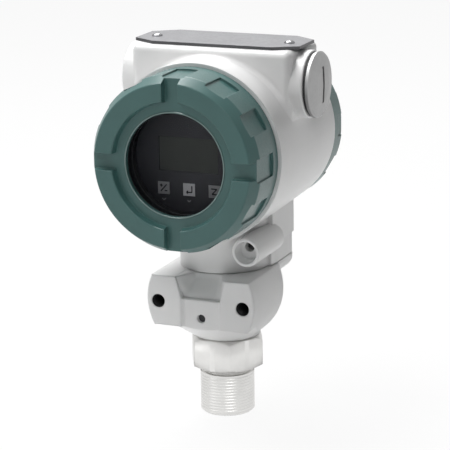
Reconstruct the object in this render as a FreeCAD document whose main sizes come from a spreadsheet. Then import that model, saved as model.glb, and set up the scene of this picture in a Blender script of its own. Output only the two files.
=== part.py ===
import FreeCAD, Part
import math
import os
import Sketcher
from FreeCAD import Placement, Rotation, Vector

# Field-housing pressure transmitter. Millimetres. The sensor axis is Z, the end of
# the process thread lies at z = 0, and the display looks along -Y.

doc = FreeCAD.newDocument("PressureTransmitter")
sheet = doc.addObject("Spreadsheet::Sheet", "Sizes")
sheet_names = []


# ---------------------------------------------------------------- sizes

class Size:
    """A length that carries its number and the sheet formula it comes from."""

    def __init__(self, value, formula):
        self.value = value
        self.formula = formula

    def __add__(self, other):
        return Size(self.value + number(other), "(%s + %s)" % (self.formula, formula(other)))

    def __sub__(self, other):
        return Size(self.value - number(other), "(%s - %s)" % (self.formula, formula(other)))

    def __mul__(self, factor):
        return Size(self.value * number(factor), "(%s * %s)" % (self.formula, formula(factor)))

    def __truediv__(self, divisor):
        return Size(self.value / number(divisor), "(%s / %s)" % (self.formula, formula(divisor)))

    def __neg__(self):
        return Size(-self.value, "(-1 * %s)" % self.formula)

    def __radd__(self, other):
        return self + other

    def __rsub__(self, other):
        return Size(float(other), formula(other)) - self


def number(value):
    return value.value if isinstance(value, Size) else float(value)


def formula(value):
    return value.formula if isinstance(value, Size) else "%.9g" % value


def size(name, value):
    """Writes one driving dimension to the sheet."""
    sheet_names.append(name)
    row = len(sheet_names)
    sheet.set("A%d" % row, name)
    sheet.set("B%d" % row, str(value))
    sheet.setAlias("B%d" % row, name)
    return Size(value, "Sizes." + name)


# process connector
thread_radius = size("thread_radius", 13.5)
thread_length = size("thread_length", 20.8)
thread_chamfer = size("thread_chamfer", 1.1)
relief_radius = size("relief_radius", 11.2)
relief_width = size("relief_width", 2.5)
hex_flats = size("hex_flats", 34)
hex_height = size("hex_height", 17)
hex_bevel = size("hex_bevel", 1.4)
hex_bottom = thread_length + relief_width
hex_top = hex_bottom + hex_height
port_radius = size("port_radius", 4)
spigot_radius = size("spigot_radius", 12)
spigot_height = size("spigot_height", 8)
slip = size("slip", 0.05)
gap = size("gap", 0.3)

# sensor casting
base_radius = size("base_radius", 16.8)
drum_radius = size("drum_radius", 28)
drum_axis = size("drum_axis", 24)
pad_front = size("pad_front", 33)
drum_back = size("drum_back", 6)
pad_round = size("pad_round", 0.8)
pad_bottom = size("pad_bottom", 10.8)
skirt_spread = size("skirt_spread", 1.514)
casting_height = size("casting_height", 35.7)
base_z = hex_top
casting_top = base_z + casting_height
bracket_spacing = size("bracket_spacing", 44)
bracket_hole_radius = size("bracket_hole_radius", 3.4)
bracket_hole_depth = size("bracket_hole_depth", 14)
ledge_width = size("ledge_width", 20)
ledge_height = size("ledge_height", 24.7)
saddle_width = size("saddle_width", 26)
face_step = size("face_step", 1.2)
vent_radius = size("vent_radius", 2.1)
vent_rise = size("vent_rise", 15.4)
vent_plug_inset = size("vent_plug_inset", 3)
bracket_rise = size("bracket_rise", 22.7)
neck_seal_radius = size("neck_seal_radius", 1.1)
neck_bore_radius = size("neck_bore_radius", 6)
lug_half_width = size("lug_half_width", 24.2)
lug_depth = size("lug_depth", 28.8)
lug_drop = size("lug_drop", 8.2)
lug_round = size("lug_round", 7)
collar_radius = size("collar_radius", 22.3)
neck_spigot_radius = size("neck_spigot_radius", 14)
neck_rise = size("neck_rise", 25.8)
lead_room = size("lead_room", 10.8)
neck_spigot_height = neck_rise - lead_room
cell_radius = size("cell_radius", 11)
cell_height = size("cell_height", 9)

# housing
cover_thread_radius = size("cover_thread_radius", 38)
barrel_front = size("barrel_front", 35.7)
barrel_back = size("barrel_back", 41.6)
cover_skirt = size("cover_skirt", 4.2)
cover_radius = cover_thread_radius + cover_skirt
collar_stand = size("collar_stand", 1.6)
barrel_taper = size("barrel_taper", 1.4)
barrel_front_radius = cover_radius + collar_stand
barrel_back_radius = barrel_front_radius - barrel_taper
cover_thread_depth = size("cover_thread_depth", 2)
bore_radius = cover_thread_radius - cover_thread_depth
axis_height = casting_top + neck_rise + bore_radius
front_bore_depth = size("front_bore_depth", 20)
wall_depth = size("wall_depth", 5)
entry_boss_radius = size("entry_boss_radius", 16.3)
entry_thread_radius = size("entry_thread_radius", 9.25)
entry_depth = size("entry_depth", 29)
block_front = size("block_front", 17)
block_back = size("block_back", 22)
block_inset = size("block_inset", 2.8)
block_half = barrel_front_radius - block_inset
block_stand = size("block_stand", 4)
block_top = barrel_front_radius + block_stand
entry_drop = size("entry_drop", 17.7)
entry_height = block_top - entry_drop
entry_stand = size("entry_stand", 5.5)
entry_span = block_half + entry_stand
block_round = size("block_round", 3.5)
boss_round = size("boss_round", 0.8)
web_round = size("web_round", 2.5)
neck_radius = size("neck_radius", 22.5)
neck_half_width = size("neck_half_width", 25)
neck_step_height = size("neck_step_height", 11)
adjuster_boss_radius = size("adjuster_boss_radius", 7)
adjuster_offset = size("adjuster_offset", 22.7)
adjuster_height = size("adjuster_height", 90.2)
adjuster_front = size("adjuster_front", 30)
adjuster_funnel_depth = size("adjuster_funnel_depth", 5.6)
adjuster_radius = size("adjuster_radius", 2.4)
adjuster_rise = size("adjuster_rise", 1.7)
adjuster_hole = size("adjuster_hole", 16)
adjuster_screw_length = size("adjuster_screw_length", 7)
lead_bore_radius = size("lead_bore_radius", 3)
lead_radius = size("lead_radius", 1.6)

# covers
cover_bevel_width = size("cover_bevel_width", 3.1)
cover_face_radius = cover_radius - cover_bevel_width
cover_bevel_height = size("cover_bevel_height", 6)
cover_ring_width = size("cover_ring_width", 8.7)
cover_ring_radius = cover_face_radius - cover_ring_width
cover_ring_depth = size("cover_ring_depth", 3.9)
front_cover_height = size("front_cover_height", 28.4)
rear_cover_height = size("rear_cover_height", 17)
window_radius = size("window_radius", 24.7)
window_lip = size("window_lip", 2.4)
glass_radius = size("glass_radius", 28)
glass_thickness = size("glass_thickness", 6)
gasket_thickness = size("gasket_thickness", 0.8)
clamp_ring_radius = size("clamp_ring_radius", 31)
clamp_ring_height = size("clamp_ring_height", 4)
cover_thread_length = size("cover_thread_length", 10)
cover_wall = size("cover_wall", 3)
lug_band = size("lug_band", 6.3)
lug_pocket_depth = size("lug_pocket_depth", 1.2)
notch_width = size("notch_width", 8)
cover_round = size("cover_round", 0.7)
seal_radius = size("seal_radius", 0.9)
seal_seat = size("seal_seat", 3.2)

# conduit plug, name plate
plug_radius = size("plug_radius", 15.9)
plug_flange = size("plug_flange", 2.4)
plug_dome = size("plug_dome", 1.6)
plug_thread_length = size("plug_thread_length", 14)
plug_seal_radius = size("plug_seal_radius", 0.7)
plug_slot_length = size("plug_slot_length", 17.5)
plug_slot_width = size("plug_slot_width", 2.4)
plug_slot_depth = size("plug_slot_depth", 1.8)
plate_overhang = size("plate_overhang", 1.5)
plate_half = block_half + plate_overhang
plate_front = size("plate_front", 14)
plate_back = size("plate_back", 20)
plate_corner_x = size("plate_corner_x", 11.5)
plate_corner_y = size("plate_corner_y", 6.5)
plate_back_corner = size("plate_back_corner", 8)
plate_thickness = size("plate_thickness", 1.5)
rivet_inset = size("rivet_inset", 8.1)
rivet_spacing = (plate_half - rivet_inset) * 2
rivet_head_radius = size("rivet_head_radius", 1.9)
rivet_radius = size("rivet_radius", 1.2)
rivet_grip = size("rivet_grip", 4)
rivet_head_height = size("rivet_head_height", 1.3)
rivet_dome_radius = size("rivet_dome_radius", 2.2)

# electronics
display_depth = size("display_depth", 7.9)
display_radius = size("display_radius", 30)
display_height = size("display_height", 11)
case_wall = size("case_wall", 1.8)
case_face = size("case_face", 2)
board_inset = size("board_inset", 4.4)
panel_inset = size("panel_inset", 0.2)
panel_thickness = size("panel_thickness", 1.5)
side_clearance = size("side_clearance", 0.12)
screen_width = size("screen_width", 30)
screen_height = size("screen_height", 16.5)
screen_lift = size("screen_lift", 1.4)
key_width = size("key_width", 6)
key_spacing = size("key_spacing", 13)
key_drop = size("key_drop", 15.3)
key_travel = size("key_travel", 0.6)
board_thickness = size("board_thickness", 1.6)
board_room = size("board_room", 3)
board_radius = bore_radius - board_room
board_post_radius = size("board_post_radius", 2.75)
board_post_circle = display_radius - case_wall - board_post_radius - gap * 2
board_standoff = size("board_standoff", 4)
post_tapping = size("post_tapping", 7)
board_screw_radius = size("board_screw_radius", 1.4)
terminal_width = size("terminal_width", 54)
terminal_height = size("terminal_height", 22)
terminal_depth = size("terminal_depth", 14)
terminal_pitch = size("terminal_pitch", 10)
terminal_screw_radius = size("terminal_screw_radius", 3)
terminal_recess = size("terminal_recess", 5)
clamp_thickness = size("clamp_thickness", 1)
ground_drop = size("ground_drop", 24)
lead_socket_drop = size("lead_socket_drop", 26)
board_module = size("board_module", 2)
screw_head_height = size("screw_head_height", 2)
screw_head_overhang = size("screw_head_overhang", 1.3)
doc.recompute()


# ---------------------------------------------------------------- helpers

ALONG = {
    "+x": Rotation(Vector(0, 1, 0), 90),
    "-x": Rotation(Vector(0, 1, 0), -90),
    "+y": Rotation(Vector(1, 0, 0), -90),
    "-y": Rotation(Vector(1, 0, 0), 90),
    "+z": Rotation(),
    "-z": Rotation(Vector(1, 0, 0), 180),
}


def bind(thing, prop, value):
    """Ties a property to the sheet, or sets a plain number."""
    if isinstance(value, Size):
        thing.setExpression(prop, value.formula)
    else:
        setattr(thing, prop, value)


def place(thing, at, turn):
    thing.Placement = Placement(Vector(*[number(v) for v in at]), turn)
    for axis, value in zip("xyz", at):
        if isinstance(value, Size):
            thing.setExpression("Placement.Base." + axis, value.formula)


def primitive(kind, sizes, at, turn):
    thing = doc.addObject("Part::" + kind, kind)
    for prop, value in sizes.items():
        bind(thing, prop, value)
    place(thing, at, turn)
    return thing


def cylinder(radius, length, at, axis="+z"):
    return primitive("Cylinder", {"Radius": radius, "Height": length}, at, ALONG[axis])


def cone(start_radius, end_radius, length, at, axis="+z"):
    sizes = {"Radius1": start_radius, "Radius2": end_radius, "Height": length}
    return primitive("Cone", sizes, at, ALONG[axis])


def ring(radius, section, at, axis="+z"):
    return primitive("Torus", {"Radius1": radius, "Radius2": section}, at, ALONG[axis])


def box(low, high):
    """A box between two corners."""
    spans = [top - bottom if isinstance(top, Size) else -(bottom - top)
             if isinstance(bottom, Size) else top - bottom for bottom, top in zip(low, high)]
    sizes = dict(zip(("Length", "Width", "Height"), spans))
    return primitive("Box", sizes, low, Rotation())


def joined(*solids):
    thing = doc.addObject("Part::MultiFuse", "Fusion")
    thing.Shapes = list(solids)
    thing.Refine = True
    return thing


def overlap(first, second):
    thing = doc.addObject("Part::Common", "Common")
    thing.Base = first
    thing.Tool = second
    return thing


def cut(base, *tools):
    thing = doc.addObject("Part::Cut", "Cut")
    thing.Base = base
    thing.Tool = tools[0] if len(tools) == 1 else joined(*tools)
    return thing


def circle_of(edge):
    """The circle that an edge lies on, or None."""
    if edge.Degenerated or not isinstance(edge.Curve, Part.Circle):
        return None
    return edge.Curve


def arc_of(radius, slack):
    """Picks round edges of about this radius."""
    def wanted(edge):
        circle = circle_of(edge)
        return circle is not None and abs(circle.Radius - number(radius)) < slack
    return wanted


def rounded(base, radius, wanted):
    """Rounds the edges of a finished form that the test picks."""
    doc.recompute()
    thing = doc.addObject("Part::Fillet", "Fillet")
    thing.Base = base
    picked = [i + 1 for i, edge in enumerate(base.Shape.Edges) if wanted(edge)]
    if not picked:
        raise ValueError("no edge to round on " + base.Name)
    thing.Edges = [(i, number(radius), number(radius)) for i in picked]
    return thing


def new_body(name):
    return doc.addObject("PartDesign::Body", name)


def plane_of(body, role):
    for feature in body.Origin.OriginFeatures:
        if feature.Role == role:
            return feature
    raise ValueError(role)


def new_sketch(body, role, height=None):
    sketch = body.newObject("Sketcher::SketchObject", "Outline")
    sketch.AttachmentSupport = [(plane_of(body, role), "")]
    sketch.MapMode = "FlatFace"
    if height is not None:
        sketch.AttachmentOffset = Placement(Vector(0, 0, number(height)), Rotation())
        if isinstance(height, Size):
            sketch.setExpression("AttachmentOffset.Base.z", height.formula)
    return sketch


def pin_point(sketch, element, point, x, y):
    """Fixes a sketch point to the sketch's axes by sheet formulas."""
    for kind, axis, value in (("DistanceX", -2, x), ("DistanceY", -1, y)):
        if not isinstance(value, Size) and value == 0:
            sketch.addConstraint(Sketcher.Constraint("PointOnObject", element, point, axis))
            continue
        index = sketch.addConstraint(
            Sketcher.Constraint(kind, -1, 1, element, point, number(value)))
        if isinstance(value, Size):
            sketch.setExpression("Constraints[%d]" % index, value.formula)


def draw_outline(sketch, corners):
    """A closed outline of straight lines through the corners."""
    first = sketch.GeometryCount
    points = [Vector(number(x), number(y), 0) for x, y in corners]
    count = len(points)
    for i in range(count):
        sketch.addGeometry(Part.LineSegment(points[i], points[(i + 1) % count]))
    for i in range(count):
        follower = first + (i + 1) % count
        sketch.addConstraint(Sketcher.Constraint("Coincident", first + i, 2, follower, 1))
    for i, (x, y) in enumerate(corners):
        pin_point(sketch, first + i, 1, x, y)


def draw_circle(sketch, x, y, radius):
    centre = Vector(number(x), number(y), 0)
    index = sketch.addGeometry(Part.Circle(centre, Vector(0, 0, 1), number(radius)))
    pin_point(sketch, index, 3, x, y)
    constraint = sketch.addConstraint(Sketcher.Constraint("Radius", index, number(radius)))
    if isinstance(radius, Size):
        sketch.setExpression("Constraints[%d]" % constraint, radius.formula)


def draw_box(sketch, x0, y0, x1, y1):
    draw_outline(sketch, [(x0, y0), (x1, y0), (x1, y1), (x0, y1)])


def pad(body, sketch, length):
    feature = body.newObject("PartDesign::Pad", "Pad")
    feature.Profile = sketch
    bind(feature, "Length", length)
    return feature


def pocket(body, sketch, length, upward=False):
    feature = body.newObject("PartDesign::Pocket", "Pocket")
    feature.Profile = sketch
    feature.Reversed = upward
    bind(feature, "Length", length)
    return feature


def turned(body, corners, kind="Revolution"):
    """Turns a half section, given as (radius, height) corners, about the body's own Z."""
    sketch = new_sketch(body, "XZ_Plane")
    draw_outline(sketch, corners)
    feature = body.newObject("PartDesign::" + kind, kind)
    feature.Profile = sketch
    feature.ReferenceAxis = (sketch, ["V_Axis"])
    feature.Angle = 360
    return feature


def at_circle(radius, height, slack=0.02):
    """Picks circular edges about the body's Z with this radius and height."""
    def wanted(edge):
        circle = circle_of(edge)
        return circle is not None and (abs(circle.Radius - number(radius)) < slack
                                       and abs(circle.Center.z - number(height)) < slack)
    return wanted


def soften(body, feature, radius, *wanted):
    """Rounds edges of a body's last feature that any of the tests picks."""
    doc.recompute()
    names = ["Edge%d" % (i + 1) for i, edge in enumerate(feature.Shape.Edges)
             if any(test(edge) for test in wanted)]
    if len(names) < len(wanted):
        raise ValueError("edges to round are missing on " + body.Name)
    fillet = body.newObject("PartDesign::Fillet", "Fillet")
    fillet.Base = (feature, names)
    bind(fillet, "Radius", radius)
    return fillet


def polar(body, feature, count):
    doc.recompute()
    pattern = body.newObject("PartDesign::PolarPattern", "PolarPattern")
    pattern.Originals = [feature]
    pattern.Axis = (plane_of(body, "Z_Axis"), [""])
    pattern.Angle = 360
    pattern.Occurrences = count
    body.Tip = pattern
    return pattern


nodes = {}


def node(name, thing):
    thing.Label = name
    nodes[name] = thing
    return thing


# ---------------------------------------------------------------- process connector

hex_corner = hex_flats / math.sqrt(3)
hex_turn = 26          # degrees of the first corner from -Y towards +X

connector = new_body("ProcessConnector")
sketch = new_sketch(connector, "XY_Plane", hex_bottom)
corners = []
for i in range(6):
    angle = math.radians(hex_turn - 90 + 60 * i)
    corners.append((hex_corner * math.cos(angle), hex_corner * math.sin(angle)))
draw_outline(sketch, corners)
pad(connector, sketch, hex_height)
bevel_reach = hex_corner - hex_flats / 2 + hex_bevel
bevel_rise = bevel_reach * math.tan(math.radians(30))
turned(connector, [(hex_flats / 2 - hex_bevel, hex_top), (hex_corner, hex_top - bevel_rise),
                   (hex_corner + 1, hex_top - bevel_rise), (hex_corner + 1, hex_top)], "Groove")
turned(connector, [(hex_flats / 2 - hex_bevel, hex_bottom), (hex_corner + 1, hex_bottom),
                   (hex_corner + 1, hex_bottom + bevel_rise),
                   (hex_corner, hex_bottom + bevel_rise)], "Groove")
turned(connector, [(0, 0), (thread_radius - thread_chamfer, 0), (thread_radius, thread_chamfer),
                   (thread_radius, thread_length - thread_chamfer),
                   (thread_radius - thread_chamfer, thread_length),
                   (relief_radius, thread_length), (relief_radius, hex_bottom + 1),
                   (0, hex_bottom + 1)])
turned(connector, [(0, hex_top - 1), (spigot_radius, hex_top - 1),
                   (spigot_radius, hex_top + spigot_height), (0, hex_top + spigot_height)])
cell_bottom = hex_top + spigot_height - 2
turned(connector, [(0, 0), (port_radius + 1, 0), (port_radius, 1), (port_radius, cell_bottom),
                   (cell_radius - 2, cell_bottom), (cell_radius - 2, cell_bottom + 2),
                   (0, cell_bottom + 2)], "Groove")
node("process_connector", connector)


# ---------------------------------------------------------------- sensor casting

drum_z = base_z + drum_axis
drum = cylinder(drum_radius, pad_front + drum_back, (0, -pad_front, drum_z), "+y")
drum = rounded(drum, pad_round, lambda edge: abs(edge.CenterOfMass.y + number(pad_front)) < 0.01)
bulb = primitive("Sphere", {"Radius": drum_radius}, (0, 0, drum_z), Rotation())
reach = pad_front * 2
skirt = cone(base_radius, base_radius + pad_bottom * skirt_spread, pad_bottom, (0, 0, base_z))
upper_zone = box((-reach, -reach, base_z + pad_bottom), (reach, reach, casting_top))
all_zone = box((-reach, -reach, base_z), (reach, reach, casting_top))
drum_zone = joined(upper_zone, skirt)
foot = cylinder(base_radius, pad_bottom / 2, (0, 0, base_z))
collar = cylinder(collar_radius, casting_height / 2, (0, 0, base_z + casting_height / 2))
lug = box((-lug_half_width, 0, casting_top - lug_drop), (lug_half_width, lug_depth, casting_top))
lug_bottom = base_z + casting_height - lug_drop
lug = rounded(lug, lug_round, lambda edge: abs(edge.CenterOfMass.z - number(lug_bottom)) < 0.01
              and abs(edge.CenterOfMass.y - number(lug_depth) / 2) < 0.01)
shell = joined(overlap(drum, drum_zone), overlap(bulb, all_zone), foot, lug, collar,
               cylinder(neck_spigot_radius, neck_spigot_height, (0, 0, casting_top)))

saddle_body = new_body("Saddle")
sketch = new_sketch(saddle_body, "XZ_Plane", collar_radius / 2)
draw_outline(sketch, [(-ledge_width / 2, base_z + ledge_height), (ledge_width / 2, base_z + ledge_height),
                      (saddle_width / 2, casting_top + 1), (-saddle_width / 2, casting_top + 1)])
pad(saddle_body, sketch, pad_front)
saddle = cut(saddle_body, cylinder(collar_radius - 1, casting_height, (0, 0, base_z + 1)))

step_body = new_body("FaceStep")
sketch = new_sketch(step_body, "XY_Plane", base_z - 1)
draw_outline(sketch, [(-saddle_width / 2 + face_step, -pad_front - 1),
                      (saddle_width / 2 - face_step, -pad_front - 1),
                      (ledge_width / 2 - face_step, -pad_front + face_step),
                      (-ledge_width / 2 + face_step, -pad_front + face_step)])
pad(step_body, sketch, casting_height + 2)

bracket_z = base_z + bracket_rise
vent_z = base_z + vent_rise
neck_seal_z = casting_top + 7
seal_groove = cut(cylinder(neck_spigot_radius + 1, neck_seal_radius * 2 + slip * 2,
                           (0, 0, neck_seal_z - neck_seal_radius - slip)),
                  cylinder(neck_spigot_radius - neck_seal_radius * 2 - slip, neck_seal_radius * 4,
                           (0, 0, neck_seal_z - neck_seal_radius * 2)))
cell_chamber = cylinder(cell_radius + slip, cell_height + 12, (0, 0, hex_top + spigot_height - 1))
casting = cut(shell, saddle, step_body,
              cylinder(bracket_hole_radius, bracket_hole_depth, (-bracket_spacing / 2, -pad_front, bracket_z), "+y"),
              cylinder(bracket_hole_radius, bracket_hole_depth, (bracket_spacing / 2, -pad_front, bracket_z), "+y"),
              cylinder(vent_radius, pad_front - cell_radius, (0, -pad_front, vent_z), "+y"),
              cylinder(spigot_radius + slip, spigot_height, (0, 0, base_z)),
              cell_chamber, seal_groove,
              cylinder(neck_bore_radius, casting_height + neck_spigot_height, (0, 0, base_z + 10)))
node("sensor_casting", casting)

cell = new_body("SensorCell")
cell_z = hex_top + spigot_height
turned(cell, [(0, cell_z), (cell_radius - 3, cell_z), (cell_radius, cell_z),
              (cell_radius, cell_z + cell_height * 0.6), (cell_radius - 2, cell_z + cell_height),
              (0, cell_z + cell_height)])
node("sensor_cell", cell)

node("vent_plug", cylinder(vent_radius - slip, 4, (0, -pad_front + vent_plug_inset, vent_z), "+y"))
node("neck_oring", ring(neck_spigot_radius - neck_seal_radius, neck_seal_radius, (0, 0, neck_seal_z)))
node("sensor_board", cylinder(cell_radius - 0.6, board_thickness, (0, 0, cell_z + cell_height)))


# ---------------------------------------------------------------- housing

entry_z = axis_height + entry_height
top_z = axis_height + block_top
neck_bottom = casting_top + gap
neck_mid = casting_top + neck_step_height
barrel = cone(barrel_front_radius, barrel_back_radius, barrel_front + barrel_back,
              (0, -barrel_front, axis_height), "+y")
block = box((-block_half, -block_front, axis_height), (block_half, block_back, top_z))
block = rounded(block, block_round, lambda edge: edge.CenterOfMass.z > number(axis_height) + 1)
boss_length = entry_span - block_half + 6
bosses = [cylinder(entry_boss_radius, boss_length, (entry_span, 0, entry_z), "-x"),
          cylinder(entry_boss_radius, boss_length, (-entry_span, 0, entry_z), "+x")]


def end_circle(solid, radius, at, axis):
    """Rounds the rim of a boss at one end."""
    def wanted(edge):
        middle = edge.CenterOfMass
        return arc_of(radius, 0.01)(edge) and abs(getattr(middle, axis) - number(at)) < 0.01
    return rounded(solid, boss_round, wanted)


bosses = [end_circle(bosses[0], entry_boss_radius, entry_span, "x"),
          end_circle(bosses[1], entry_boss_radius, -entry_span, "x")]
neck = cylinder(neck_radius, axis_height - neck_bottom - 30, (0, 0, neck_bottom))
neck_low = box((-lug_half_width, 0, neck_bottom), (lug_half_width, lug_depth, neck_mid))
neck_high = box((-neck_half_width, 0, neck_mid), (neck_half_width, lug_depth, axis_height - 20))
adjuster_boss = cylinder(adjuster_boss_radius, adjuster_front + 3,
                         (adjuster_offset, -adjuster_front, adjuster_height), "+y")
adjuster_boss = end_circle(adjuster_boss, adjuster_boss_radius, -adjuster_front, "y")
neck_low = rounded(neck_low, boss_round, lambda edge: abs(edge.CenterOfMass.y - number(lug_depth)) < 0.01
                   and abs(edge.CenterOfMass.z - number(neck_bottom + neck_mid) / 2) < 0.01)
head = joined(barrel, block, *bosses)


def web_edge(edge):
    """The curves where the block runs into the barrel and the conduit bosses."""
    middle = edge.CenterOfMass
    on_face = abs(middle.y + number(block_front)) < 0.01 or abs(middle.y - number(block_back)) < 0.01
    return on_face and arc_of(barrel_front_radius, 2)(edge)


head = rounded(head, web_round, web_edge)
outer = joined(head, neck, neck_low, neck_high, adjuster_boss)

adjuster_z = adjuster_height + adjuster_rise
lead_bend_z = casting_top + neck_spigot_height + lead_radius / 2
lead_high_z = axis_height - bore_radius + lead_radius * 1.5
lead_front_y = -barrel_front + front_bore_depth / 2 + lead_radius
lead_slope = Rotation(Vector(0, 0, 1), Vector(0, number(lead_front_y), number(lead_high_z - lead_bend_z)))
rear_floor = front_bore_depth + wall_depth - barrel_front
hollows = [
    cylinder(bore_radius, front_bore_depth, (0, -barrel_front, axis_height), "+y"),
    cylinder(cover_thread_radius + slip * 2, cover_thread_length + 1, (0, -barrel_front, axis_height), "+y"),
    cylinder(bore_radius, barrel_back - rear_floor, (0, rear_floor, axis_height), "+y"),
    cylinder(cover_thread_radius + slip * 2, cover_thread_length + 1,
             (0, barrel_back - cover_thread_length - 1, axis_height), "+y"),
    cylinder(entry_thread_radius, entry_depth, (-entry_span, 0, entry_z), "+x"),
    cylinder(entry_thread_radius, entry_depth, (entry_span, 0, entry_z), "-x"),
    cone(entry_thread_radius + 1, entry_thread_radius, 1, (-entry_span, 0, entry_z), "+x"),
    cone(cover_thread_radius + slip * 2 + seal_seat, cover_thread_radius + slip * 2, seal_seat,
         (0, -barrel_front, axis_height), "+y"),
    cone(cover_thread_radius + slip * 2 + seal_seat, cover_thread_radius + slip * 2, seal_seat,
         (0, barrel_back, axis_height), "-y"),
    cylinder(rivet_radius + slip, rivet_grip + 1, (rivet_spacing / 2, 0, top_z), "-z"),
    cylinder(rivet_radius + slip, rivet_grip + 1, (-rivet_spacing / 2, 0, top_z), "-z"),
    primitive("Cylinder", {"Radius": lead_bore_radius, "Height": barrel_front}, (0, 0, lead_bend_z), lead_slope),
    primitive("Sphere", {"Radius": lead_bore_radius}, (0, 0, lead_bend_z), Rotation()),
    cylinder(board_screw_radius + slip, wall_depth * 0.8, (0, rear_floor, axis_height - ground_drop), "-y"),
    cylinder(neck_spigot_radius + slip, neck_spigot_height + 1, (0, 0, neck_bottom)),
    cone(5.5, 4.6, adjuster_funnel_depth, (adjuster_offset, -adjuster_front, adjuster_height), "+y"),
    cylinder(adjuster_radius + slip, adjuster_hole, (adjuster_offset, -adjuster_front, adjuster_z), "+y"),
]
housing = cut(outer, *hollows)
node("housing", housing)


# ---------------------------------------------------------------- covers

def rim(body, height):
    """The twelve finger pockets round a cover and the four notches in its face."""
    sketch = new_sketch(body, "XY_Plane", lug_band)
    half = cover_radius * math.sin(math.radians(7.5))
    draw_box(sketch, cover_radius - lug_pocket_depth, -half, cover_radius + 1, half)
    polar(body, pocket(body, sketch, height, True), 12)
    sketch = new_sketch(body, "XY_Plane", height - cover_ring_depth)
    draw_box(sketch, cover_ring_radius - 2, -notch_width / 2, cover_radius + 1, notch_width / 2)
    polar(body, pocket(body, sketch, cover_ring_depth + 1, True), 4)


floor_z = front_cover_height - cover_ring_depth
glass_top = floor_z - window_lip - gasket_thickness
glass_bottom = glass_top - glass_thickness
ring_bottom = glass_bottom - clamp_ring_height
inner_radius = cover_thread_radius - cover_wall

front_cover = new_body("FrontCover")
turning = turned(front_cover, [
    (window_radius, floor_z), (cover_ring_radius - 0.8, floor_z), (cover_ring_radius, front_cover_height),
    (cover_face_radius, front_cover_height), (cover_radius, front_cover_height - cover_bevel_height),
    (cover_radius, 0), (cover_thread_radius, 0), (cover_thread_radius, -cover_thread_length),
    (inner_radius, -cover_thread_length), (inner_radius, ring_bottom - 2),
    (clamp_ring_radius, ring_bottom - 2), (clamp_ring_radius, glass_bottom),
    (glass_radius + slip, glass_bottom), (glass_radius + slip, floor_z - window_lip),
    (window_radius, floor_z - window_lip)])
soften(front_cover, turning, cover_round, at_circle(cover_ring_radius, front_cover_height),
       at_circle(cover_face_radius, front_cover_height),
       at_circle(cover_radius, front_cover_height - cover_bevel_height), at_circle(cover_radius, 0),
       at_circle(window_radius, floor_z))
rim(front_cover, front_cover_height)
place(front_cover, (0, -barrel_front, axis_height), ALONG["-y"])
node("front_cover", front_cover)

rear_cover = new_body("RearCover")
rear_floor_z = rear_cover_height - cover_ring_depth
turning = turned(rear_cover, [
    (0, rear_floor_z), (cover_ring_radius - 0.8, rear_floor_z), (cover_ring_radius, rear_cover_height),
    (cover_face_radius, rear_cover_height), (cover_radius, rear_cover_height - cover_bevel_height),
    (cover_radius, 0), (cover_thread_radius, 0), (cover_thread_radius, -cover_thread_length),
    (inner_radius, -cover_thread_length), (inner_radius, rear_floor_z - cover_wall),
    (0, rear_floor_z - cover_wall)])
soften(rear_cover, turning, cover_round, at_circle(cover_ring_radius, rear_cover_height),
       at_circle(cover_face_radius, rear_cover_height),
       at_circle(cover_radius, rear_cover_height - cover_bevel_height), at_circle(cover_radius, 0))
rim(rear_cover, rear_cover_height)
place(rear_cover, (0, barrel_back, axis_height), ALONG["+y"])
node("rear_cover", rear_cover)

glass = cylinder(glass_radius, glass_thickness, (0, -barrel_front - glass_top, axis_height), "+y")
node("window_glass", glass)

clamp_ring = new_body("ClampRing")
turned(clamp_ring, [(window_radius + 0.8, ring_bottom), (clamp_ring_radius - slip, ring_bottom),
                    (clamp_ring_radius - slip, glass_bottom), (window_radius + 0.8, glass_bottom)])
place(clamp_ring, (0, -barrel_front, axis_height), ALONG["-y"])
node("glass_clamp_ring", clamp_ring)


def gasket_ring(outer, inner, bottom, top):
    """A flat ring in the front cover's frame."""
    body = new_body("FlatRing")
    turned(body, [(inner, bottom), (outer, bottom), (outer, top), (inner, top)])
    place(body, (0, -barrel_front, axis_height), ALONG["-y"])
    return body


node("glass_gasket", gasket_ring(glass_radius, window_radius, glass_top, floor_z - window_lip))
cover_seal_radius = cover_thread_radius + seal_radius + slip
node("front_cover_oring", ring(cover_seal_radius, seal_radius,
                               (0, seal_radius + slip - barrel_front, axis_height), "+y"))
node("rear_cover_oring", ring(cover_seal_radius, seal_radius,
                              (0, barrel_back - seal_radius - slip, axis_height), "+y"))


# ---------------------------------------------------------------- display

def display_body(name):
    body = new_body(name)
    place(body, (0, -barrel_front, axis_height), ALONG["-y"])
    return body


def key_positions():
    return [-key_spacing, 0, key_spacing]


case_bottom = display_depth - display_height
board_top = display_depth - board_inset
board_bottom = board_top - board_thickness
case = display_body("DisplayCase")
turned(case, [(0, display_depth - case_face), (0, display_depth), (display_radius - 0.8, display_depth),
              (display_radius, display_depth - 0.8), (display_radius, case_bottom),
              (display_radius - case_wall, case_bottom),
              (display_radius - case_wall, display_depth - case_face)])
sketch = new_sketch(case, "XY_Plane", display_depth)
draw_box(sketch, -screen_width / 2, screen_lift - screen_height / 2,
         screen_width / 2, screen_lift + screen_height / 2)
pocket(case, sketch, case_face + 1)
sketch = new_sketch(case, "XY_Plane", display_depth)
hole_half = key_width / 2 + side_clearance
for key_x in key_positions():
    draw_box(sketch, hole_half * -1 + key_x, hole_half * -1 - key_drop,
             hole_half + key_x, hole_half - key_drop)
pocket(case, sketch, case_face + 1)
node("display_case", case)

key_height = case_face + 0.2
panel = display_body("Screen")
sketch = new_sketch(panel, "XY_Plane", display_depth - panel_inset - panel_thickness)
draw_box(sketch, screen_width / -2 + side_clearance, screen_lift - screen_height / 2 + side_clearance,
         screen_width / 2 - side_clearance, screen_lift + screen_height / 2 - side_clearance)
pad(panel, sketch, panel_thickness)
node("lcd_panel", panel)

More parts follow.
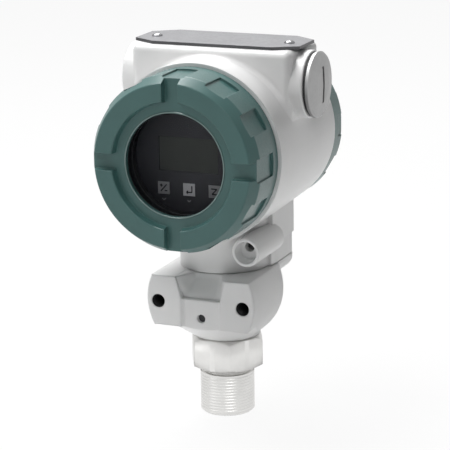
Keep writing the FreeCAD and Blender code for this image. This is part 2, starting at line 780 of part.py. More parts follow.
for name, key_x in zip(("key_left", "key_middle", "key_right"), key_positions()):
    key = display_body("Key")
    sketch = new_sketch(key, "XY_Plane", display_depth - key_height)
    draw_box(sketch, key_width / -2 + key_x, key_width / -2 - key_drop,
             key_width / 2 + key_x, key_width / 2 - key_drop)
    pad(key, sketch, key_height)
    node(name, key)

switch_top = display_depth - key_height - key_travel - 0.1
switch_half = key_width * 0.4
switches = display_body("KeySwitches")
sketch = new_sketch(switches, "XY_Plane", board_top)
for key_x in key_positions():
    draw_box(sketch, switch_half * -1 + key_x, switch_half * -1 - key_drop,
             switch_half + key_x, switch_half - key_drop)
pad(switches, sketch, switch_top - board_top)
node("key_switches", switches)


# ---------------------------------------------------------------- boards

def post_points():
    """The three board posts, as directions about the housing's axis."""
    turns = [math.radians(angle) for angle in (90, 210, 330)]
    return [(board_post_circle * math.cos(turn), board_post_circle * math.sin(turn)) for turn in turns]


def board_disc(name, radius, bottom, hole):
    body = display_body("Board")
    sketch = new_sketch(body, "XY_Plane", bottom)
    draw_circle(sketch, 0, 0, radius)
    for x, y in post_points():
        draw_circle(sketch, x, y, hole)
    pad(body, sketch, board_thickness)
    return node(name, body)


def studs(name, radius, bottom, top, hole=None):
    """A pad of equal round studs at the post points."""
    body = display_body(name)
    sketch = new_sketch(body, "XY_Plane", bottom)
    for x, y in post_points():
        draw_circle(sketch, x, y, radius)
    pad(body, sketch, top - bottom)
    if hole is not None:
        sketch = new_sketch(body, "XY_Plane", top)
        for x, y in post_points():
            draw_circle(sketch, x, y, hole)
        pocket(body, sketch, post_tapping)
    return body


partition_z = -front_bore_depth
shoulder_z = partition_z + board_standoff
board_disc("display_board", display_radius - case_wall - 0.3, board_bottom, board_screw_radius + 0.1)
board_disc("main_board", board_radius, shoulder_z, board_post_radius + 0.1)
node("board_posts", joined(studs("PostBases", board_post_radius * 1.5, partition_z, shoulder_z),
                           studs("Posts", board_post_radius, partition_z, board_bottom,
                                 board_screw_radius + 0.1)))
node("board_screws", joined(studs("ScrewHeads", board_screw_radius + screw_head_overhang, board_top,
                                  board_top + screw_head_height * 0.7),
                            studs("ScrewShanks", board_screw_radius, board_bottom - post_tapping * 0.8,
                                  board_top)))

board_front_y = -barrel_front - shoulder_z - board_thickness


def component(x0, z0, width, height, tall):
    """A block on the front of the main board, given in board modules from the housing's axis."""
    low = (board_module * x0, board_front_y - board_module * tall, axis_height + board_module * z0)
    high = (board_module * (x0 + width), board_front_y, axis_height + board_module * (z0 + height))
    return box(low, high)


def capacitor(x, z):
    at = (board_module * x, board_front_y, axis_height + board_module * z)
    return cylinder(board_module * 1.6, board_module * 4, at, "-y")


lead_socket_height = board_module * 3
lead_socket = box((-board_module * 2, board_front_y - board_module * 2.5, axis_height - lead_socket_drop),
                  (board_module * 2, board_front_y, axis_height - lead_socket_drop + lead_socket_height))
node("board_components", joined(component(-8, -2, 6, 6, 3.5), component(3, -4, 4.5, 4.5, 0.7),
                                component(-7, -9.5, 2.5, 4, 2), component(2, 5, 7, 2.5, 2.5),
                                capacitor(-4, 8), capacitor(9.5, -1), lead_socket))


def cable_run(points, radius):
    """A round lead along straight runs with ball corners."""
    pieces = []
    for start, end in zip(points, points[1:]):
        way = Vector(*[number(b) - number(a) for a, b in zip(start, end)])
        pieces.append(primitive("Cylinder", {"Radius": radius, "Height": way.Length}, start,
                                Rotation(Vector(0, 0, 1), way)))
    for corner in points[1:-1]:
        pieces.append(primitive("Sphere", {"Radius": radius}, corner, Rotation()))
    return joined(*pieces)


connector_bottom = axis_height - lead_socket_drop
node("sensor_lead", cable_run([(0, 0, cell_z + cell_height + board_thickness + gap), (0, 0, lead_bend_z),
                               (0, lead_front_y, lead_high_z), (0, lead_front_y, connector_bottom)],
                              lead_radius))


# ---------------------------------------------------------------- terminals

def rear_body(name):
    body = new_body(name)
    place(body, (0, rear_floor, axis_height), ALONG["+y"])
    return body


terminals = rear_body("TerminalBlock")
terminal_x = [terminal_pitch * (i - 1.5) for i in range(4)]
sketch = new_sketch(terminals, "XY_Plane", 0)
draw_box(sketch, terminal_width / -2, terminal_height / -2, terminal_width / 2, terminal_height / 2)
pad(terminals, sketch, terminal_depth)
sketch = new_sketch(terminals, "XY_Plane", terminal_depth)
for x in terminal_x:
    draw_box(sketch, x - terminal_pitch * 0.4, terminal_height * -0.3,
             x + terminal_pitch * 0.4, terminal_height / 2 + 1)
pocket(terminals, sketch, terminal_recess)
sketch = new_sketch(terminals, "XY_Plane", terminal_depth)
end_x = terminal_width / 2 - screw_head_overhang - board_screw_radius - 0.7
for x in terminal_x:
    draw_circle(sketch, x, 0, terminal_screw_radius * 0.5 + slip)
for side in (-1, 1):
    draw_circle(sketch, end_x * side, 0, board_screw_radius + slip)
pocket(terminals, sketch, terminal_depth * 0.95)
node("terminal_block", terminals)

terminal_floor = terminal_depth - terminal_recess
clamps = rear_body("TerminalClamps")
sketch = new_sketch(clamps, "XY_Plane", terminal_floor)
for x in terminal_x:
    draw_box(sketch, x - terminal_pitch * 0.35, terminal_pitch * -0.35,
             x + terminal_pitch * 0.35, terminal_pitch * 0.35)
    draw_circle(sketch, x, 0, terminal_screw_radius * 0.5 + slip)
pad(clamps, sketch, clamp_thickness)
node("terminal_clamps", clamps)


def screw_row(name, xs, head, shank, seat, depth, y=0):
    """Slotted screws standing on a seat, with their shanks below it."""
    body = rear_body(name)
    sketch = new_sketch(body, "XY_Plane", seat)
    for x in xs:
        draw_circle(sketch, x, y, head)
    pad(body, sketch, screw_head_height)
    sketch = new_sketch(body, "XY_Plane", seat + screw_head_height)
    for x in xs:
        draw_box(sketch, x - head - 1, y - head * 0.15, x + head + 1, y + head * 0.15)
    pocket(body, sketch, screw_head_height / 2)
    sketch = new_sketch(body, "XY_Plane", seat - depth)
    for x in xs:
        draw_circle(sketch, x, y, shank)
    pad(body, sketch, depth + screw_head_height / 4)
    return node(name, body)


screw_row("terminal_screws", terminal_x, terminal_screw_radius, terminal_screw_radius * 0.5,
          terminal_floor + clamp_thickness, terminal_floor * 0.8)
screw_row("terminal_block_screws", [-end_x, end_x], board_screw_radius + screw_head_overhang,
          board_screw_radius, terminal_depth, terminal_depth * 0.85)
screw_row("ground_screw", [Size(0, "0")], board_screw_radius + screw_head_overhang, board_screw_radius,
          Size(0, "0"), wall_depth * 0.7, ground_drop)


# ---------------------------------------------------------------- zero adjuster

adjuster = new_body("ZeroAdjuster")
turned(adjuster, [(0, adjuster_screw_length), (adjuster_radius - 0.4, adjuster_screw_length),
                  (adjuster_radius, adjuster_screw_length - 0.4), (adjuster_radius, 0), (0, 0)])
sketch = new_sketch(adjuster, "XY_Plane", adjuster_screw_length)
draw_box(sketch, -adjuster_radius - 1, -0.4, adjuster_radius + 1, 0.4)
pocket(adjuster, sketch, 1)
place(adjuster, (adjuster_offset, adjuster_hole - adjuster_front - 0.2, adjuster_z), ALONG["-y"])
node("zero_adjuster", adjuster)


# ---------------------------------------------------------------- conduit plug

plug = new_body("ConduitPlug")
turned(plug, [(0, plug_flange + plug_dome), (plug_radius / 2, plug_flange + plug_dome * 0.75),
              (plug_radius - 0.9, plug_flange), (plug_radius, plug_flange * 0.6),
              (plug_radius, 0), (entry_thread_radius - slip, 0),
              (entry_thread_radius - slip, -plug_thread_length), (0, -plug_thread_length)])
sketch = new_sketch(plug, "XY_Plane", plug_flange + plug_dome)
draw_box(sketch, -plug_slot_length / 2, -plug_slot_width / 2, plug_slot_length / 2, plug_slot_width / 2)
pocket(plug, sketch, plug_slot_depth)
place(plug, (entry_span + plug_seal_radius * 2, 0, entry_z), ALONG["+x"])
node("conduit_plug", plug)
node("conduit_plug_oring", ring(plug_radius - 1.2, plug_seal_radius - 0.02,
                                (entry_span + plug_seal_radius, 0, entry_z), "+x"))


# ---------------------------------------------------------------- name plate

plate = new_body("NamePlate")
sketch = new_sketch(plate, "XY_Plane", top_z)
side = plate_half - plate_corner_x
draw_outline(sketch, [(-side, -plate_front), (side, -plate_front),
                      (plate_half, -plate_front + plate_corner_y), (plate_half, plate_back - plate_back_corner),
                      (side, plate_back), (-side, plate_back),
                      (-plate_half, plate_back - plate_back_corner),
                      (-plate_half, -plate_front + plate_corner_y)])
pad(plate, sketch, plate_thickness)
sketch = new_sketch(plate, "XY_Plane", top_z + plate_thickness)
for side in (-1, 1):
    draw_circle(sketch, rivet_spacing * side / 2, 0, rivet_radius + slip)
pocket(plate, sketch, plate_thickness + 1)
node("nameplate", plate)

rivets = []
for side in (-1, 1):
    rivet_x = rivet_spacing * side / 2
    rivets.append(cylinder(rivet_radius, plate_thickness + rivet_grip, (rivet_x, 0, top_z - rivet_grip)))
    dome = primitive("Sphere", {"Radius": rivet_dome_radius},
                     (rivet_x, 0, top_z + plate_thickness + rivet_head_height - rivet_dome_radius),
                     Rotation())
    rivets.append(overlap(dome, cylinder(rivet_head_radius, rivet_head_height * 2,
                                         (rivet_x, 0, top_z + plate_thickness))))
node("nameplate_rivets", joined(*rivets))


# ---------------------------------------------------------------- checks and files

doc.recompute()
for thing in doc.Objects:
    if "Invalid" in thing.State or "Error" in thing.State:
        raise RuntimeError("%s failed: %s" % (thing.Label, thing.State))
os.makedirs("parts", exist_ok=True)
for name, thing in nodes.items():
    shape = thing.Shape
    if shape.isNull() or not shape.isValid() or not shape.Solids:
        raise RuntimeError(name + " has no valid solid")
    shape.exportStep("parts/%s.step" % name)
    print("%-22s solids %d volume %.1f" % (name, len(shape.Solids), shape.Volume))
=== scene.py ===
import bmesh
import bpy
import math
from mathutils import Matrix, Vector


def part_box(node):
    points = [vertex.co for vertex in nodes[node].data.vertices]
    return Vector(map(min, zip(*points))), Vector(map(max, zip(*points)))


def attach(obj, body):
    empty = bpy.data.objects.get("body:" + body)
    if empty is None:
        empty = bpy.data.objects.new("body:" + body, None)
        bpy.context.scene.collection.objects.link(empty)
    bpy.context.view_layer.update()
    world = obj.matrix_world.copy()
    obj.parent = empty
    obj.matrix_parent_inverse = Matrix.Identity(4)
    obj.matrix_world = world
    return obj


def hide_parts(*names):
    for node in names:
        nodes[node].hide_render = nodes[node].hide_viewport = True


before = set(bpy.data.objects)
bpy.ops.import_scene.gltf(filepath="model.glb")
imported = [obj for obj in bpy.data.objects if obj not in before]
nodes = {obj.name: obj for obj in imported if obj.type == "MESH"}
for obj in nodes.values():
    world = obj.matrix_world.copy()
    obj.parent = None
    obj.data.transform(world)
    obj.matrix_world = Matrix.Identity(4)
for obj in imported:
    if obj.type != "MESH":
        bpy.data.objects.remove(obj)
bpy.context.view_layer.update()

print("frame loaded:", len(nodes), "nodes")


def newMaterial(name):
    material = bpy.data.materials.new(name)
    material.use_nodes = True
    tree = material.node_tree
    shader = tree.nodes["Principled BSDF"]
    return material, tree, shader


def addNode(tree, kind, place=(0, 0), **settings):
    node = tree.nodes.new(kind)
    node.location = place
    for key, value in settings.items():
        setattr(node, key, value)
    return node


def objectCoords(tree, scale=(1, 1, 1), turn=(0, 0, 0)):
    # object space is metres in the part's own frame, so a pattern keeps its real size
    coords = addNode(tree, "ShaderNodeTexCoord", (-1200, 0))
    mapping = addNode(tree, "ShaderNodeMapping", (-1000, 0))
    mapping.inputs["Scale"].default_value = scale
    mapping.inputs["Rotation"].default_value = turn
    tree.links.new(coords.outputs["Object"], mapping.inputs["Vector"])
    return mapping.outputs["Vector"]


def noise(tree, vector, scale, detail=3, roughness=0.55, place=(-780, 0)):
    texture = addNode(tree, "ShaderNodeTexNoise", place)
    texture.inputs["Scale"].default_value = scale
    texture.inputs["Detail"].default_value = detail
    texture.inputs["Roughness"].default_value = roughness
    tree.links.new(vector, texture.inputs["Vector"])
    return texture.outputs["Fac"]


def ramp(tree, value, low, high, place=(-560, 0)):
    # low and high are colours or greys at the two ends of the value
    node = addNode(tree, "ShaderNodeValToRGB", place)
    ends = node.color_ramp.elements
    ends[0].position, ends[1].position = 0.3, 0.7
    ends[0].color = asColour(low)
    ends[1].color = asColour(high)
    tree.links.new(value, node.inputs["Fac"])
    return node.outputs["Color"]


def asColour(value):
    if isinstance(value, (int, float)):
        return (value, value, value, 1)
    return (value[0], value[1], value[2], 1)


def bump(tree, shader, height, strength, distance, under=None, place=(-300, -300)):
    node = addNode(tree, "ShaderNodeBump", place)
    node.inputs["Strength"].default_value = strength
    node.inputs["Distance"].default_value = distance
    tree.links.new(height, node.inputs["Height"])
    if under is not None:
        tree.links.new(under, node.inputs["Normal"])
    tree.links.new(node.outputs["Normal"], shader.inputs["Normal"])
    return node.outputs["Normal"]


def softEdges(tree, radius):
    # rounds the look of sharp machined edges without touching the mesh
    node = addNode(tree, "ShaderNodeBevel", (-560, -500))
    node.samples = 6
    node.inputs["Radius"].default_value = radius
    return node.outputs["Normal"]


def baseFinish(name, colour, spread, roughness, tone, gloss):
    # tone and gloss are (scale, detail) of the noises that vary the colour and the roughness
    material, tree, shader = newMaterial(name)
    vector = objectCoords(tree)
    dark = [c * (1 - spread) for c in colour]
    light = [min(1, c * (1 + spread)) for c in colour]
    broad = noise(tree, vector, tone[0], tone[1])
    tree.links.new(ramp(tree, broad, dark, light), shader.inputs["Base Color"])
    fine = noise(tree, vector, gloss[0], gloss[1], place=(-780, -260))
    tree.links.new(ramp(tree, fine, roughness[0], roughness[1], (-560, -200)), shader.inputs["Roughness"])
    return material, tree, shader, vector, fine


def paint(name, colour, spread=0.05, roughness=(0.3, 0.4), edge=0.0006, peel=0.00004, coat=0.15,
          specular=0.5):
    material, tree, shader, vector, fine = baseFinish(name, colour, spread, roughness, (45, 4), (900, 2))
    peelNoise = noise(tree, vector, 1500, 2, 0.4, (-780, -520))
    bump(tree, shader, peelNoise, 0.35, peel, softEdges(tree, edge))
    shader.inputs["Specular IOR Level"].default_value = specular
    shader.inputs["Coat Weight"].default_value = coat
    shader.inputs["Coat Roughness"].default_value = 0.18
    return material


def metal(name, colour, roughness, spread=0.06, edge=0.0004):
    material, tree, shader, vector, fine = baseFinish(name, colour, spread, roughness, (70, 3), (600, 3))
    shader.inputs["Metallic"].default_value = 1
    normal = softEdges(tree, edge)
    tree.links.new(normal, shader.inputs["Normal"])
    return material, tree, shader, normal


def brushed(name, colour, roughness, scale, strength=0.25, depth=0.00003):
    # long fine scratches: noise squeezed along the brushing direction
    material, tree, shader, normal = metal(name, colour, roughness)
    lines = noise(tree, objectCoords(tree, scale), 1, 2, 0.6, (-780, -520))
    bump(tree, shader, lines, strength, depth, normal)
    return material


def shadeSideFaces(material, colour):
    # painted shade: the sheet's side faces, where the normal lies level, get a darker colour than its face,
    # standing in for the lesser light they catch
    tree = material.node_tree
    shader = tree.nodes["Principled BSDF"]
    face = shader.inputs["Base Color"].links[0].from_socket
    geometry = addNode(tree, "ShaderNodeNewGeometry", (-900, 400))
    split = addNode(tree, "ShaderNodeSeparateXYZ", (-700, 400))
    steep = addNode(tree, "ShaderNodeMath", (-500, 400), operation="ABSOLUTE")
    level = addNode(tree, "ShaderNodeMath", (-300, 400), operation="GREATER_THAN")
    level.inputs[1].default_value = 0.5
    mix = addNode(tree, "ShaderNodeMix", (-100, 300), data_type="RGBA")
    mix.inputs["A"].default_value = asColour(colour)
    tree.links.new(geometry.outputs["True Normal"], split.inputs[0])
    tree.links.new(split.outputs["Z"], steep.inputs[0])
    tree.links.new(steep.outputs[0], level.inputs[0])
    tree.links.new(level.outputs[0], mix.inputs["Factor"])
    tree.links.new(face, mix.inputs["B"])
    tree.links.new(mix.outputs["Result"], shader.inputs["Base Color"])
    return material


def turnedSteel(name, colour, roughness, grooves, strength=0.3, depth=0.00004):
    # lathe marks: fine bands stacked along the axis
    material, tree, shader, normal = metal(name, colour, roughness)
    lines = noise(tree, objectCoords(tree, (20, 20, grooves)), 1, 3, 0.6, (-780, -520))
    bump(tree, shader, lines, strength, depth, normal)
    return material


def plastic(name, colour, roughness=(0.4, 0.55), grain=0.00003, specular=0.5):
    material, tree, shader, vector, fine = baseFinish(name, colour, 0.1, roughness, (80, 3), (1800, 2))
    shader.inputs["Specular IOR Level"].default_value = specular
    if grain > 0:
        bump(tree, shader, fine, 0.3, grain)
    return material


def clearGlass(name):
    material, tree, shader = newMaterial(name)
    vector = objectCoords(tree)
    haze = noise(tree, vector, 60, 3)
    tree.links.new(ramp(tree, haze, 0.3, 0.38), shader.inputs["Roughness"])
    shader.inputs["Base Color"].default_value = (0.03, 0.035, 0.04, 1)
    shader.inputs["Alpha"].default_value = 0.08   # a thin clear pane: light reaches the display
    return material


def dress(material, *names):
    for name in names:
        mesh = nodes[name].data
        mesh.materials.clear()
        mesh.materials.append(material)


finishes = {
    "housingWhite": (0.76, 0.76, 0.758),
    "coverGreen": (0.047, 0.125, 0.118),
    "steel": (0.76, 0.755, 0.74),
    "plate": (0.24, 0.24, 0.25),
    "plateSideShade": (0.09, 0.09, 0.094),
    "plug": (0.36, 0.36, 0.36),
}

whitePaint = paint("whitePaint", finishes["housingWhite"], 0.015, (0.34, 0.42))
greenPaint = paint("greenPaint", finishes["coverGreen"], 0.08, (0.34, 0.44), edge=0.0008, peel=0.00006,
                   coat=0.25, specular=0.4)
castPaint = paint("castPaint", finishes["housingWhite"], 0.015, (0.36, 0.46), edge=0.0014)
dress(whitePaint, "housing")
dress(castPaint, "sensor_casting")
dress(greenPaint, "front_cover", "rear_cover")
steel = turnedSteel("turnedSteel", finishes["steel"], (0.33, 0.4), 1800, strength=0.2, depth=0.000008)
# the nameplate's side faces get a darker grey as painted shade
dress(shadeSideFaces(brushed("plateSteel", finishes["plate"], (0.34, 0.44), (60, 2600, 2600)),
                finishes["plateSideShade"]), "nameplate")
dress(brushed("plugMetal", finishes["plug"], (0.42, 0.52), (900, 900, 900), strength=0.2), "conduit_plug")
dress(metal("screwSteel", (0.62, 0.62, 0.6), (0.2, 0.3))[0], "nameplate_rivets", "board_screws",
      "terminal_screws", "terminal_block_screws", "ground_screw", "sensor_cell")
dress(metal("brassMetal", (0.72, 0.52, 0.22), (0.25, 0.35))[0], "board_posts", "terminal_clamps")
dress(plastic("sealRubber", (0.012, 0.012, 0.013), (0.5, 0.65)), "neck_oring", "front_cover_oring",
      "rear_cover_oring", "conduit_plug_oring", "glass_gasket", "sensor_lead")
dress(plastic("displayBlack", (0.034, 0.034, 0.042), (0.5, 0.54), grain=0, specular=0.3), "display_case")
# black plastic parts; the zero adjuster also gets this black as painted shade at the bottom of its dark hole
dress(plastic("blackPartsAndShade", (0.02, 0.02, 0.022)), "terminal_block", "board_components", "key_switches",
      "vent_plug", "zero_adjuster")
dress(plastic("boardGreen", (0.02, 0.12, 0.05), (0.3, 0.4)), "main_board", "display_board",
      "sensor_board")
# one light grey key in a shaded and a lit copy: the side keys get the darker grey as painted shade towards
# the window's edge, the middle key the lighter grey as the lit copy
keyShadedGrey = plastic("keyShadedGrey", (0.36, 0.36, 0.38), (0.5, 0.54), grain=0, specular=0.2)
dress(keyShadedGrey, "key_left", "key_right")
dress(plastic("keyLitGrey", (0.66, 0.66, 0.69), (0.5, 0.54), grain=0, specular=0.2), "key_middle")
dress(plastic("screenGrey", (0.058, 0.062, 0.058), (0.5, 0.54), grain=0, specular=0.2), "lcd_panel")
dress(metal("ringMetal", (0.06, 0.06, 0.065), (0.4, 0.5))[0], "glass_clamp_ring")
dress(clearGlass("windowGlass"), "window_glass")
print("finishes on the frame's nodes")


def newPiece(name, mesh, material, body, smoothUnder=None):
    # smoothUnder is the largest angle, in degrees, that still shades as one surface
    mesh.validate()
    mesh.update()
    if smoothUnder is not None:
        mesh.polygons.foreach_set("use_smooth", [True] * len(mesh.polygons))
        mesh.set_sharp_from_angle(angle=math.radians(smoothUnder))
    piece = bpy.data.objects.new(name, mesh)
    bpy.context.collection.objects.link(piece)
    mesh.materials.clear()
    mesh.materials.append(material)
    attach(piece, body)
    return piece


def loft(name, rings, capped):
    # joins closed rings of equal length one after the other
    count = len(rings[0])
    vertices = [point for ring in rings for point in ring]
    faces = []
    for r in range(len(rings) - 1):
        for i in range(count):
            j = (i + 1) % count
            faces.append([r * count + i, r * count + j, (r + 1) * count + j, (r + 1) * count + i])
    if capped:
        last = (len(rings) - 1) * count
        faces.append(list(range(count))[::-1])
        faces.append(list(range(last, last + count)))
    mesh = bpy.data.meshes.new(name)
    mesh.from_pydata(vertices, [], faces)
    return mesh


def threadRings(settings, place):
    # one ring per step along the axis; the crest winds round once in each pitch
    rings = []
    length = settings["end"] - settings["start"]
    steps = max(2, round(length / settings["pitch"] * settings["stepsPerTurn"]))
    for step in range(steps + 1):
        along = length * step / steps
        fade = min(1, along / settings["runOut"], (length - along) / settings["runOut"])
        ring = []
        for side in range(settings["sides"]):
            turn = side / settings["sides"]
            phase = (along / settings["pitch"] - turn) % 1
            groove = 0.5 - 0.5 * math.cos(2 * math.pi * phase)
            radius = settings["radius"] - settings["depth"] * groove * fade
            angle = 2 * math.pi * turn
            ring.append(place(radius * math.cos(angle), radius * math.sin(angle), settings["start"] + along))
        rings.append(ring)
    return rings


# male thread of the process connector: the plain cylinder of the solid gives way to the cut one
connectorSettings = {"radius": 0.0135, "start": 0.0011, "end": 0.0208, "pitch": 0.0015, "depth": 0.00032,
                     "runOut": 0.0012, "stepsPerTurn": 12, "sides": 96}


def makeConnector(settings):
    shape = bmesh.new()
    shape.from_mesh(nodes["process_connector"].data)
    bmesh.ops.remove_doubles(shape, verts=shape.verts, dist=0.000002)
    wall = [face for face in shape.faces
            if all(abs(math.hypot(v.co.x, v.co.y) - settings["radius"]) < 0.00002 for v in face.verts)
            and settings["start"] < face.calc_center_median().z < settings["end"]]
    bmesh.ops.delete(shape, geom=wall, context="FACES")
    thread = loft("thread", threadRings(settings, lambda x, y, z: (x, y, z)), False)
    shape.from_mesh(thread)
    mesh = bpy.data.meshes.new("process_connector_threaded")
    shape.to_mesh(mesh)
    shape.free()
    piece = newPiece("process_connector_threaded", mesh, steel, "sensor_module", 32)
    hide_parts("process_connector")


makeConnector(connectorSettings)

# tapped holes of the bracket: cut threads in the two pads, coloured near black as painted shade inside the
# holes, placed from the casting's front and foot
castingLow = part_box("sensor_casting")[0]
tappedSettings = {"radius": 0.00338, "start": 0.0004, "end": 0.0138, "pitch": 0.00125, "depth": 0.0005,
                  "runOut": 0.0006, "stepsPerTurn": 8, "sides": 40, "spacing": 0.044, "rise": 0.0227}
# near-black steel: painted shade deep in the tapped holes
holeShadeSteel = metal("holeShadeSteel", (0.035, 0.035, 0.036), (0.4, 0.5))[0]
holeHeight = castingLow.z + tappedSettings["rise"]
for sideName, side in (("left", -1), ("right", 1)):
    middle = side * tappedSettings["spacing"] / 2
    holeRings = threadRings(tappedSettings, lambda x, y, z: (middle + x, castingLow.y + z, holeHeight + y))
    end = [(middle, castingLow.y + tappedSettings["end"], holeHeight)] * tappedSettings["sides"]
    newPiece("bracket_thread_" + sideName, loft("bracketThread", holeRings + [end], False), holeShadeSteel,
             "sensor_module", 60)
print("threads cut")

# hollow between the two pads: a scoop that runs up from the ledge to the neck, placed as the holes are
scoopSettings = {"ledgeHeight": 0.0246, "topHeight": 0.03565, "ledgeHalf": 0.0101, "topHalf": 0.0131,
                 "ledgeFront": 0.0032, "topFront": 0.0004, "topBack": 0.0108, "topFlat": 0.0062,
                 "hidden": 0.0158, "rows": 12, "columns": 36}


def makeScoop(s):
    rings = []
    for row in range(s["rows"] + 1):
        t = row / s["rows"]
        half = s["ledgeHalf"] + (s["topHalf"] - s["ledgeHalf"]) * t
        height = s["ledgeHeight"] + (s["topHeight"] - s["ledgeHeight"]) * t
        ring = []
        for column in range(s["columns"] + 1):
            x = half * (2 * column / s["columns"] - 1)
            cheek = max(0, (abs(x) - s["topFlat"]) / (half - s["topFlat"]))
            cheek = cheek * cheek * (3 - 2 * cheek)
            top = s["topBack"] + (s["topFront"] - s["topBack"]) * cheek
            ease = t * t * (3 - 2 * t) * 0.5 + t * 0.5
            depth = s["ledgeFront"] + (top - s["ledgeFront"]) * ease
            ring.append((x, castingLow.y + depth, castingLow.z + height))
        back = castingLow.y + s["hidden"]   # inside the casting
        ring += [(half, back, castingLow.z + height), (-half, back, castingLow.z + height)]
        rings.append(ring)
    return loft("scoop", rings, True)


newPiece("casting_scoop", makeScoop(scoopSettings), castPaint, "sensor_module", 40)
print("casting details made")

# domed rivet heads of the plate, a little fuller than the plain ones of the solids
rivetSettings = {
    "rings": ((0.0026, 0), (0.0026, 0.0004), (0.0023, 0.0008), (0.0016, 0.0011), (0.0006, 0.00128)),
    "sides": 32,
}
rivetMetal = metal("rivetMetal", (0.3, 0.3, 0.31), (0.2, 0.28))[0]


def makeRivets(s):
    low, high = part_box("nameplate_rivets")
    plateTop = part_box("nameplate")[1].z
    middleY = (low.y + high.y) / 2
    headHalf = (high.y - low.y) / 2
    for sideName, x in (("left", low.x + headHalf), ("right", high.x - headHalf)):
        rings = [[(x + radius * math.cos(2 * math.pi * i / s["sides"]),
                   middleY + radius * math.sin(2 * math.pi * i / s["sides"]), plateTop + height)
                  for i in range(s["sides"])] for radius, height in s["rings"]]
        newPiece("rivet_head_" + sideName, loft("rivetHead", rings, True), rivetMetal, "housing", 50)


makeRivets(rivetSettings)
print("rivet heads made")

# thin lip bead where the cover's inner face meets the window, coloured a lighter green than the cover as a
# painted highlight on the rim
lipSettings = {"radius": 0.02495, "recess": 0.0039, "bead": 0.00045, "sides": 160, "beadSides": 12}
rimHighlightPaint = paint("rimHighlightPaint", (0.12, 0.2, 0.19), 0.05, (0.2, 0.26), edge=0.0002, peel=0.00001,
                 coat=0.6, specular=0.6)


def makeLip(s):
    glassLow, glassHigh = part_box("window_glass")
    middleZ = (glassLow.z + glassHigh.z) / 2
    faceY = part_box("front_cover")[0].y + s["recess"]
    rings = []
    for step in range(s["sides"] + 1):
        angle = 2 * math.pi * step / s["sides"]
        ring = []
        for part in range(s["beadSides"]):
            turn = 2 * math.pi * part / s["beadSides"]
            radius = s["radius"] + s["bead"] * math.cos(turn)
            ring.append((radius * math.cos(angle), faceY + s["bead"] * math.sin(turn),
                         middleZ + radius * math.sin(angle)))
        rings.append(ring)
    return loft("lip", rings, False)


newPiece("window_lip", makeLip(lipSettings), rimHighlightPaint, "front_cover", 60)
print("window lip made")


def flatPiece(name, outlines, y, thickness, material, body):
    # outlines are closed lists of (x, z) corners; the piece stands on the plane y, towards -Y
    vertices, faces = [], []
    for outline in outlines:
        start, count = len(vertices), len(outline)
        vertices += [(x, y, z) for x, z in outline]
        vertices += [(x, y - thickness, z) for x, z in outline]
        faces.append(list(range(start, start + count)))
        faces.append(list(range(start + count, start + 2 * count))[::-1])
        for i in range(count):
            j = (i + 1) % count
            faces.append([start + i, start + count + i, start + count + j, start + j])
    mesh = bpy.data.meshes.new(name)
    mesh.from_pydata(vertices, [], faces)
    return newPiece(name, mesh, material, body)


def bar(x0, z0, x1, z1, width):
    # a straight stroke between two points
    run = Vector((x1 - x0, z1 - z0)).normalized() * width / 2
    side = Vector((-run.y, run.x))
    return [(x0 - side.x, z0 - side.y), (x1 - side.x, z1 - side.y),
            (x1 + side.x, z1 + side.y), (x0 + side.x, z0 + side.y)]


# each stroke runs between two points, counted in units from the middle of its key
keyIcons = {
    "unit": 0.001,
    "stroke": 0.00055,
    "raise": 0.00012,
    "key_left": [(-1.9, 1.2, -0.5, 1.2), (-1.2, 0.5, -1.2, 1.9), (-1.5, -1.7, 1.5, 1.7),
                 (0.5, -1.3, 1.9, -1.3)],
    "key_middle": [(1.5, 1.9, 1.5, -1.2), (1.5, -1.2, -1.3, -1.2), (-1.3, -1.2, -0.5, -0.5),
                   (-1.3, -1.2, -0.5, -1.9)],
    "key_right": [(-1.6, 1.3, 1.2, 1.3), (1.2, 1.3, -1.2, -1.3), (-1.2, -1.3, 1.6, -1.3)],
}
unit = keyIcons["unit"]
iconInk = plastic("iconInk", (0.02, 0.02, 0.024), (0.5, 0.6), grain=0, specular=0.2)
for keyName in ("key_left", "key_middle", "key_right"):
    low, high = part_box(keyName)
    midX, midZ = (low.x + high.x) / 2, (low.z + high.z) / 2
    strokes = [bar(midX + a * unit, midZ + b * unit, midX + c * unit, midZ + d * unit, keyIcons["stroke"])
               for a, b, c, d in keyIcons[keyName]]
    flatPiece(keyName + "_icon", strokes, low.y, keyIcons["raise"], iconInk, keyName)

# small plain marks printed on the case under two of the keys
markSettings = {"drop": 0.002, "half": 0.0009, "stroke": 0.0005, "raise": 0.00008}
markInk = plastic("markInk", (0.3, 0.3, 0.32), (0.5, 0.6), grain=0, specular=0.2)
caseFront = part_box("display_case")[0].y
for keyName in ("key_left", "key_middle"):
    low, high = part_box(keyName)
    midX, markZ = (low.x + high.x) / 2, low.z - markSettings["drop"]
    tip = markZ - markSettings["half"]
    marks = [bar(midX - markSettings["half"], markZ, midX, tip, markSettings["stroke"]),
             bar(midX, tip, midX + markSettings["half"], markZ, markSettings["stroke"])]
    flatPiece(keyName + "_mark", marks, caseFront, markSettings["raise"], markInk, "housing")
print("key icons made")


def seenDirectly(tree):
    # 1 for rays that show the backdrop itself: camera, mirror and see-through rays
    path = addNode(tree, "ShaderNodeLightPath", (-800, 300))
    first = addNode(tree, "ShaderNodeMath", (-600, 300), operation="MAXIMUM")
    second = addNode(tree, "ShaderNodeMath", (-400, 300), operation="MAXIMUM")
    tree.links.new(path.outputs["Is Camera Ray"], first.inputs[0])
    tree.links.new(path.outputs["Is Glossy Ray"], first.inputs[1])
    tree.links.new(first.outputs[0], second.inputs[0])
    tree.links.new(path.outputs["Is Transmission Ray"], second.inputs[1])
    return second.outputs[0]


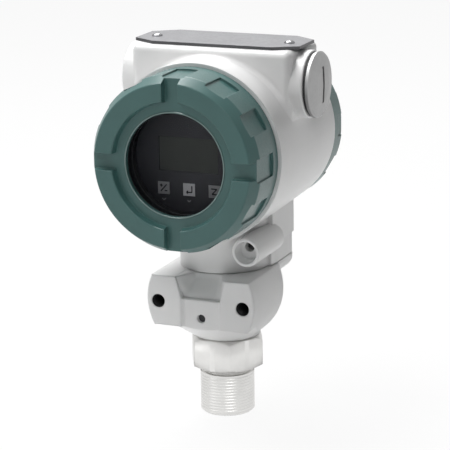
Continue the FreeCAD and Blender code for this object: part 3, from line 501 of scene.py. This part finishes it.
def makeFloor():
    floorSettings = {"size": 12, "drop": 0.0004, "colour": 0.9, "ownLight": 0.93}
    bpy.ops.mesh.primitive_plane_add(size=floorSettings["size"], location=(0, 0, -floorSettings["drop"]))
    floor = bpy.context.object
    floor.name = "floor"
    material, tree, shader = newMaterial("paleFloor")
    shader.inputs["Base Color"].default_value = (floorSettings["colour"],) * 3 + (1,)
    shader.inputs["Roughness"].default_value = 0.9
    shader.inputs["Specular IOR Level"].default_value = 0
    glow = addNode(tree, "ShaderNodeEmission", (0, -200))
    share = addNode(tree, "ShaderNodeMath", (-200, 300), operation="MULTIPLY")
    share.inputs[1].default_value = floorSettings["ownLight"]
    mix = addNode(tree, "ShaderNodeMixShader", (200, 0))
    tree.links.new(seenDirectly(tree), share.inputs[0])
    tree.links.new(share.outputs[0], mix.inputs["Fac"])
    tree.links.new(shader.outputs[0], mix.inputs[1])
    tree.links.new(glow.outputs[0], mix.inputs[2])
    tree.links.new(mix.outputs[0], tree.nodes["Material Output"].inputs["Surface"])
    floor.data.materials.append(material)


def makeWorld():
    worldSettings = {"ambient": 0.05}
    world = bpy.data.worlds.new("studio")
    bpy.context.scene.world = world
    world.use_nodes = True
    tree = world.node_tree
    back = tree.nodes["Background"]
    back.inputs["Strength"].default_value = worldSettings["ambient"]
    white = addNode(tree, "ShaderNodeBackground", (0, -200))
    mix = addNode(tree, "ShaderNodeMixShader", (200, 0))
    tree.links.new(seenDirectly(tree), mix.inputs["Fac"])
    tree.links.new(back.outputs[0], mix.inputs[1])
    tree.links.new(white.outputs[0], mix.inputs[2])
    tree.links.new(mix.outputs[0], tree.nodes["World Output"].inputs["Surface"])


def makeLamp(name, place, target, size, power):
    lamp = bpy.data.lights.new(name, "AREA")
    lamp.shape = "RECTANGLE"
    lamp.size, lamp.size_y = size
    lamp.energy = power
    item = bpy.data.objects.new(name, lamp)
    item.location = place
    item.rotation_euler = (Vector(target) - Vector(place)).to_track_quat("-Z", "Y").to_euler()
    bpy.context.collection.objects.link(item)


makeFloor()
makeWorld()
# place, size and power of each soft box; all look at one point
lampTarget = (0, 0, 0.11)
lampSettings = {
    "keyLamp": ((-0.4, -0.1, 1.1), (0.5, 0.5), 10.2),
    "backLamp": ((-0.3, 0.5, 1.0), (0.5, 0.5), 7.2),
    "frontLamp": ((-0.45, -0.6, 1.0), (0.5, 0.4), 1.8),
    "rightLamp": ((0.5, -0.75, 0.9), (0.5, 0.4), 2),
    "leftLamp": ((-0.8, -0.8, 0.3), (0.5, 0.5), 0.7),
}
for lampName, (place, size, power) in lampSettings.items():
    makeLamp(lampName, place, lampTarget, size, power)

cameraSettings = {
    "target": (-0.00018, 0, 0.09475),
    "distance": 1.0568,
    "azimuth": 22.746,      # degrees from -Y towards +X
    "elevation": 14.483,
    "roll": -0.849,
    "lens": 171.94,
}
camera = bpy.data.cameras.new("camera")
camera.lens = cameraSettings["lens"]
camera.sensor_width = 36
viewer = bpy.data.objects.new("camera", camera)
azimuth, elevation, roll = (math.radians(cameraSettings[k]) for k in ("azimuth", "elevation", "roll"))
back = Vector((math.sin(azimuth) * math.cos(elevation), -math.cos(azimuth) * math.cos(elevation),
               math.sin(elevation)))
level = Vector((math.cos(azimuth), math.sin(azimuth), 0))
right = level * math.cos(roll) + back.cross(level) * math.sin(roll)
turn = Matrix((right, back.cross(right), back)).transposed().to_4x4()
place = Vector(cameraSettings["target"]) + back * cameraSettings["distance"]
viewer.matrix_world = Matrix.Translation(place) @ turn
bpy.context.collection.objects.link(viewer)
bpy.context.scene.camera = viewer
bpy.context.scene.view_settings.view_transform = "Standard"
print("floor, light and camera set")
